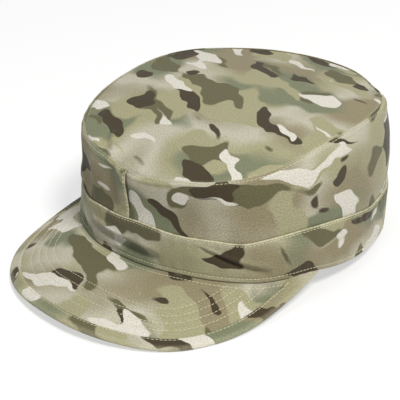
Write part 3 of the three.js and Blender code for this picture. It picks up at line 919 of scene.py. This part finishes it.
def peak_end_angle():
    """Angle at which the peak is just wide enough for its binding."""
    angles = np.linspace(0, PEAK_END_ANGLE, 800)
    width = outline_radius(angles) - oval_radius(RIM, angles)
    return angles[width > BINDING_LEAST + BINDING_CLOTH][-1]


def place_peak(u, v):
    angle = spread_angles(u, peak_end_angle())
    rim = oval_radius(RIM, angle)
    edge = outline_radius(angle) - BINDING_CLOTH - SEWN_GAP
    v = 1 - v
    share = np.clip((v - TUCK_SHARE) / (1 - TUCK_SHARE), 0, 1)
    tuck = np.clip(1 - v / TUCK_SHARE, 0, 1)
    r = rim + (edge - rim) * share - PEAK_TUCK * tuck
    z = peak_sheet(angle, r) - SEWN_GAP
    z = np.where(tuck > 0, rim_height(angle) - SEWN_GAP, z)
    p = around(angle, r, z)
    lift = 0.0
    for row in PEAK_STITCH_ROWS:
        away = distance_to(inside_outline(row, STITCH_ROWS_CLOSE), p[..., 0], p[..., 1])
        lift = lift + groove(away, 0, depth=0.42, width=0.9)
        along = angle * PEAK_DEGREE + row * 9
        lift = lift + puckers(along, away, middle=0, period=6.1, width=2.4, rise=0.10)
    lift = lift + rumple(p, size=30, rise=0.22, seed=8) + rumple(p, size=8, rise=0.1, seed=9)
    fade = np.clip(share / CALM_ROOT, 0, 1) * np.clip((edge - rim) / CALM_WIDTH, 0, 1)
    return around(angle, r, z + lift * fade), p[..., :2], 0.0


peak = sewn_sheet("peak_cloth", PEAK_COLUMNS, PEAK_ROWS, place_peak)
peak.data.materials.append(printed_cloth("peak_print", (560, 1500), 5))
close_cloth(peak, PEAK_THICK)
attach(peak, "root")
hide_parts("peak")

# Peak binding
# A bias strip folded around the peak's edge and stitched through near its turned upper edge.
BINDING_COLUMNS = 520
BINDING_ROWS = 30
BINDING_UNDER = 2.2  # how far its ends reach in under the band's foot
BINDING_TAPER = 8.0  # depth of the peak under which the strip begins to lie flat on itself
# At its ends: the shares of the peak's and the cloth's thickness that it takes, and its least depth in mm
BINDING_ENDS = {"peak": 0.2, "cloth": 0.4, "least": 0.2}
BINDING_LAYER = 0.63  # thickness of the strip, a little less than the room for it
BINDING_FLAT = 0.4  # share of the rows under the peak, and over it. The rest turn around its edge
BINDING_HEM = 0.06  # share of the rows in the upper edge's turn down


def place_binding(u, v):
    """The strip's outside, from its lower turned edge around the peak's edge to its upper one."""
    angle = spread_angles(u, PEAK_END_ANGLE - 0.5)
    rim = oval_radius(RIM, angle)
    edge = outline_radius(angle)
    # Measured square to the outline the strip keeps one width, so along the radius it grows at the sides.
    heading = np.gradient(OUTLINE_RADIUS, np.radians(OUTLINE_ANGLE)) / OUTLINE_RADIUS
    oblique = np.sqrt(1 + np.interp(angle, OUTLINE_ANGLE, heading) ** 2)
    width = np.minimum(BINDING_WIDTH * oblique, edge - rim + BINDING_UNDER)
    # Towards its ends, past the board, the strip lies flat on itself.
    full = np.clip((edge - rim) / BINDING_TAPER, BINDING_ENDS["peak"], 1)
    thick = (PEAK_THICK + 2 * SEWN_GAP) * full
    half = thick / 2 + BINDING_CLOTH * (BINDING_ENDS["cloth"] + (1 - BINDING_ENDS["cloth"]) * full)
    under, over = v <= BINDING_FLAT, v >= 1 - BINDING_FLAT
    lower = np.clip(v / BINDING_FLAT, 0, 1)
    upper = np.clip((v - 1 + BINDING_FLAT) / BINDING_FLAT, 0, 1)
    bend = math.pi * (np.clip((v - BINDING_FLAT) / (1 - 2 * BINDING_FLAT), 0, 1) - 0.5)
    straight = np.maximum(width - half, BINDING_ENDS["least"])
    r = edge - half - straight * np.where(v < 0.5, 1 - lower, upper)
    r = r + np.where(under | over, 0, half * np.cos(bend))
    z = peak_sheet(angle, r) - thick / 2 + half * np.where(under, -1, np.where(over, 1, np.sin(bend)))
    p = around(angle, r, z)
    steps = np.hypot(np.gradient(OUTLINE_X), np.gradient(OUTLINE_Y))
    length = np.interp(angle, OUTLINE_ANGLE, np.cumsum(steps))
    from_edge = edge - r
    top_side = np.clip((v - 0.5) * 8, 0, 1)
    hem = np.clip((v - 1 + BINDING_HEM) / BINDING_HEM, 0, 1)
    lift = groove(from_edge / oblique, BINDING_STITCH, depth=0.26, width=0.7)
    along = length + from_edge
    lift = lift + puckers(along, from_edge / oblique, middle=4.0, period=5.6, width=2.8, rise=0.14)
    lift = lift + rumple(p, size=9, rise=0.16, seed=12)
    z = z + lift * top_side - 0.55 * hem**2
    cloth = np.stack([length, half * bend + straight * (upper + lower - 1)], axis=-1)
    # Painted highlight and pale wear where the strip turns round the peak's edge and on its upper hem.
    wear_and_highlight = 0.45 * bell((v - 0.5) / 0.09) + 0.4 * hem
    return around(angle, r, z), cloth, wear_and_highlight


binding = sewn_sheet("binding_cloth", BINDING_COLUMNS, BINDING_ROWS, place_binding)
binding.data.materials.append(printed_cloth("binding_print", (1640, 1200), 28))
close_cloth(binding, BINDING_LAYER)
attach(binding, "root")
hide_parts("peak_binding")

# Stitching
# Pale thread in lockstitch: short stitches end to end, each sunk a little into the cloth.
STITCH_LENGTH = 2.0
STITCH_PITCH = 2.5
STITCH_THICK = 0.36
STITCH_SUNK = 0.12
STITCH_SLANT = 0.05  # across to along, at most
STITCH_CLEAR = 1.6  # of the peak's rows from the band's foot, where they end
PATH_OVER = 2.5  # how far a path runs over the cloth, clear of folds and bumps
LAP_ROW = 0.75  # degrees in from the lap's folded end
ROOT_ROW = 2.2  # out from the band's foot
ROOT_ROW_END = 66  # degrees


def thread_material():
    material, tree, shader = new_material("thread", {"Specular IOR Level": 0.35, "Roughness": 0.6})
    place = add_node(tree, "ShaderNodeTexCoord").outputs["Object"]
    twist = noise(tree, place, 900.0, 2.0).outputs["Fac"]
    dyed = scaled(tree, THREAD[:3], map_range(tree, twist, to_ends=(0.8, 1.15)))
    tree.links.new(dyed, shader.inputs["Base Color"])
    sources = [("Height", twist), ("Strength", 0.4), ("Distance", 0.0002)]
    tree.links.new(add_node(tree, "ShaderNodeBump", sources).outputs["Normal"], shader.inputs["Normal"])
    return material


thread = thread_material()


def one_stitch():
    """A single stitch along X, as the points and faces of a small rounded rod."""
    bpy.ops.object.select_all(action="DESELECT")
    bpy.ops.mesh.primitive_uv_sphere_add(segments=6, ring_count=6, radius=0.5)
    rod = bpy.context.object
    bpy.ops.transform.rotate(value=math.pi / 2, orient_axis="Y", center_override=(0, 0, 0))
    bpy.ops.object.transform_apply(location=False, rotation=True, scale=False)
    points = np.array([v.co for v in rod.data.vertices])
    faces = [list(f.vertices) for f in rod.data.polygons]
    bpy.data.objects.remove(rod)
    # The ball's points come in no fixed order, so they are sorted by place, and its faces by points.
    order = np.lexsort(np.round(points.T, 4))
    points = points[order]
    rank = np.argsort(order).tolist()
    faces = sorted([rank[i] for i in face] for face in faces)
    # The ball becomes a blunt rod, round across and narrowing at both ends.
    x = points[:, 0].copy()
    across = np.maximum(np.hypot(points[:, 1], points[:, 2]), 0.2)[:, None]
    points[:, 0] = np.sign(x) * np.abs(2 * x) ** 0.7 / 2 * STITCH_LENGTH
    points[:, 1:] *= 0.5 / across * (1 - (np.abs(x) * 2) ** 4)[:, None] * STITCH_THICK
    return points, faces


STITCH_POINTS, STITCH_FACES = one_stitch()


def add_object(name, data):
    item = bpy.data.objects.new(name, data)
    bpy.context.collection.objects.link(item)
    return item


def stitch_row(name, piece, path, inner_path):
    """Stitches where lines from a path over a piece to one inside it meet its cloth (in mm, cap's frame)."""
    path = at_rest(path)
    inner_path = at_rest(inner_path)
    steps = np.linalg.norm(np.diff(path, axis=0), axis=1)
    distance = np.concatenate([[0], np.cumsum(steps)])
    count = int(distance[-1] / (STITCH_PITCH * MM))
    centres = (np.arange(count) + 0.5) * distance[-1] / count
    points, faces = [], []
    for k, s in enumerate(centres):
        here, before, after = (
            np.array([np.interp(s + d, distance, path[:, axis]) for axis in range(3)])
            for d in (0, -STITCH_LENGTH * MM / 2, STITCH_LENGTH * MM / 2)
        )
        inside = np.array([np.interp(s, distance, inner_path[:, axis]) for axis in range(3)])
        met, place, normal = piece.ray_cast(Vector(here), Vector(inside - here).normalized())[:3]
        if not met:
            continue
        normal = np.array(normal)
        along = after - before
        along = along - normal * (along @ normal)
        along = along / np.linalg.norm(along)
        aside = np.cross(normal, along)
        slant = STITCH_SLANT * math.sin(k * 2.4)
        along, aside = along + slant * aside, aside - slant * along
        base = np.array(place) + normal * (STITCH_THICK / 2 - STITCH_SUNK) * MM
        shape = STITCH_POINTS * MM
        faces.extend([[i + len(points) * len(shape) for i in face] for face in STITCH_FACES])
        points.append(base + shape[:, :1] * along + shape[:, 1:2] * aside + shape[:, 2:] * normal)
    mesh = bpy.data.meshes.new(name)
    mesh.from_pydata(np.concatenate(points).tolist(), [], faces)
    mesh.materials.append(thread)
    mesh.shade_smooth()
    row = add_object(name, mesh)
    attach(row, "root")
    return row


def round_paths(angle, r, z):
    """A path outside the cap and one inside it, level with each other."""
    return around(angle, r + PATH_OVER, z), around(angle, r - PATH_OVER, z)


ALL_AROUND = np.linspace(-180, 180, 900)


def along_band(level_of):
    return round_paths(ALL_AROUND, *band_outside(ALL_AROUND, level_of(ALL_AROUND)))


bpy.context.view_layer.update()
paths = along_band(lambda a: 1 - BAND_TOP_STITCH / band_height(a))
row = stitch_row("band_top_stitches", band, *paths)
paths = along_band(lambda a: BAND_FOOT_STITCH / band_height(a))
row = stitch_row("band_foot_stitches", band, *paths)
level = 1 - CROWN_STITCH / (seam_height(ALL_AROUND) - band_top_height(ALL_AROUND))
paths = round_paths(ALL_AROUND, *wall_outside(ALL_AROUND, level, 0))
row = stitch_row("crown_seam_stitches", wall, *paths)
level = np.linspace(0.03, 0.96, 60)
angle = np.full(60, LAP_ANGLE - LAP_ROW)
paths = round_paths(angle, *wall_outside(angle, level, LAP_OUT))
row = stitch_row("lap_stitches", wall, *paths)


def over_peak(angle, radius):
    """A path over the peak and one under it."""
    z = peak_sheet(angle, radius)
    return around(angle, radius, z + PATH_OVER), around(angle, radius, z - PATH_OVER)


def along_peak(inward, closer=0.0):
    """Paths over and under the peak inside its outline, up to where they run in under the band."""
    x, y = inside_outline(inward, closer)
    angle = np.degrees(np.arctan2(x, -y))
    radius = np.hypot(x, y)
    keep = (radius > oval_radius(RIM, angle) + STITCH_CLEAR) & (np.abs(angle) < peak_end_angle())
    return over_peak(angle[keep], radius[keep])


for number, inward in enumerate(PEAK_STITCH_ROWS, 1):
    row = stitch_row(f"peak_stitches_{number}", peak, *along_peak(inward, STITCH_ROWS_CLOSE))
row = stitch_row("binding_stitches", binding, *along_peak(BINDING_STITCH))
angle = np.linspace(-ROOT_ROW_END, ROOT_ROW_END, 400)
paths = over_peak(angle, oval_radius(RIM, angle) + ROOT_ROW)
row = stitch_row("peak_root_stitches", peak, *paths)

# Floor, light and camera
# A plain pale floor that gives off some light itself. The main light stands high over the wearer's left, a
# little to the front, and a broad weak one hangs almost overhead.
FLOOR_LOOKS = {
    "Base Color": (0.4, 0.4, 0.4, 1),
    "Roughness": 0.9,
    "Emission Color": (1, 1, 1, 1),
    "Emission Strength": 0.54,
    "Specular IOR Level": 0.0,
}
LIGHT_AIM = (0, 0, 0.04)
CAMERA_PLACE = (0.53219, -0.52366, 0.42723)
CAMERA_AIM = (0.00216, -0.00613, 0.03402)
CAMERA_ROLL = math.radians(-2.34)
LENS = 120.9

bpy.ops.object.select_all(action="DESELECT")
bpy.ops.mesh.primitive_plane_add(size=14)
floor = bpy.context.object
floor.name = "floor"
floor.data.materials.append(new_material("floor_pale", FLOOR_LOOKS)[0])

world = bpy.data.worlds.new("studio")
world.use_nodes = True
background = world.node_tree.nodes["Background"]
background.inputs["Color"].default_value = (0.97, 0.985, 1.0, 1)
background.inputs["Strength"].default_value = 0.36
bpy.context.scene.world = world


def add_light(name, place, size, power, colour):
    light = bpy.data.lights.new(name, "AREA")
    light.shape = "DISK"
    light.size = size
    light.energy = power
    light.color = colour
    lamp = add_object(name, light)
    lamp.rotation_euler = (Vector(LIGHT_AIM) - Vector(place)).to_track_quat("-Z", "Y").to_euler()
    lamp.location = place


add_light("key", (1.15, -0.35, 1.75), size=0.5, power=40.0, colour=(1.0, 0.985, 0.95))
add_light("top", (-0.3, 0.1, 1.9), size=1.0, power=9.0, colour=(0.96, 0.98, 1.0))

lens = bpy.data.cameras.new("camera")
lens.sensor_width = 36.0
lens.lens = LENS
lens.clip_start = 0.05
camera = add_object("camera", lens)
facing = (Vector(CAMERA_AIM) - Vector(CAMERA_PLACE)).to_track_quat("-Z", "Y").to_matrix()
facing = (facing @ Matrix.Rotation(CAMERA_ROLL, 3, "Z")).to_4x4()
camera.matrix_world = Matrix.Translation(CAMERA_PLACE) @ facing
bpy.context.scene.camera = camera
bpy.context.scene.view_settings.view_transform = "Standard"
